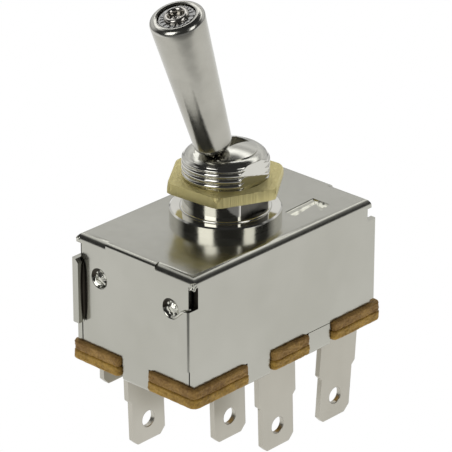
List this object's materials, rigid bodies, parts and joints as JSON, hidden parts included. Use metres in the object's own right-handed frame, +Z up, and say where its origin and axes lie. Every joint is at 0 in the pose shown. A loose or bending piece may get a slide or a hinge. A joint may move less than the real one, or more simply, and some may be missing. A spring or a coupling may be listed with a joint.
{
  "type": "power take-off switch",
  "caption": "Panel toggle switch with a locking, pull-to-release bat lever on a threaded bushing, a folded metal case, and flat blade terminals under its base.",
  "frame": {"origin": "On the bushing's axis, at the upper face of its collar, where the panel seats.", "axes": "+Z runs up the bushing, out of the panel towards the hand. X runs along the case, in the plane that the lever moves in, and the lever leans towards -X in the stored pose. Y runs across the case, with the keyway flat on the -Y side."},
  "size_m": [0.0385, 0.0234, 0.0649],
  "materials": {
    "case_steel": "satin nickel plate",
    "bushing_plate": "polished nickel plate",
    "nut_brass": "turned, unplated",
    "lever_plate": "satin plate with polished rims",
    "base_dark": "rough phenolic",
    "base_light": "phenolic laminate",
    "blade_plate": "dull tin-nickel plate",
    "spring_steel": "drawn wire",
    "pin_steel": "ground",
    "cradle_resin": "moulded",
    "contact_bar": "rolled copper alloy",
    "contact_silver": "silver"
  },
  "bodies": {
    "housing": {"case": "case_steel", "base_upper": "base_dark", "base_lower": "base_light", "bushing": "bushing_plate", "hex_nut": "nut_brass", "pivot_pin": "pin_steel", "cradle_axle": "pin_steel", "terminal_a": "blade_plate", "terminal_b": "blade_plate", "terminal_c": "blade_plate", "terminal_d": "blade_plate", "terminal_e": "blade_plate", "fixed_contact_a": "contact_silver", "fixed_contact_b": "contact_silver", "fixed_contact_c": "contact_silver", "fixed_contact_d": "contact_silver", "fixed_contact_e": "contact_silver"},
    "lever": {"lever_rod": "lever_plate", "tip_washer": "pin_steel", "sleeve_spring": "spring_steel", "plunger_spring": "spring_steel"},
    "sleeve": {"lever_sleeve": "lever_plate"},
    "plunger": {"plunger": "pin_steel"},
    "cradle": {"cradle": "cradle_resin", "bridge_near": "contact_bar", "bridge_far": "contact_bar", "bridge_rivets": "contact_bar", "moving_contact_b": "contact_silver", "moving_contact_d": "contact_silver", "moving_contact_e": "contact_silver"}
  },
  "joints": [
    {"name": "lever_tilt", "type": "hinge", "parent": "housing", "child": "lever", "pos_m": [0, 0, 0.0027], "axis": [0, 1, 0], "range_deg": [0, 38]},
    {"name": "sleeve_pull", "type": "slide", "parent": "lever", "child": "sleeve", "axis": [-0.3256, 0, 0.9455], "range_m": [0, 0.002], "stiffness_N_per_m": 1500, "springref_m": -0.0005, "deforming": ["sleeve_spring"]},
    {"name": "plunger_slide", "type": "slide", "parent": "lever", "child": "plunger", "axis": [-0.3256, 0, 0.9455], "range_m": [0, 0.0012], "stiffness_N_per_m": 600, "deforming": ["plunger_spring"]},
    {"name": "cradle_rock", "type": "hinge", "parent": "housing", "child": "cradle", "pos_m": [0, 0, -0.0128], "axis": [0, 1, 0], "range_deg": [-12, 0]}
  ],
  "couplings": [
    {"joint": "cradle_rock", "follows": "lever_tilt", "ratio": -0.31579}
  ]
}
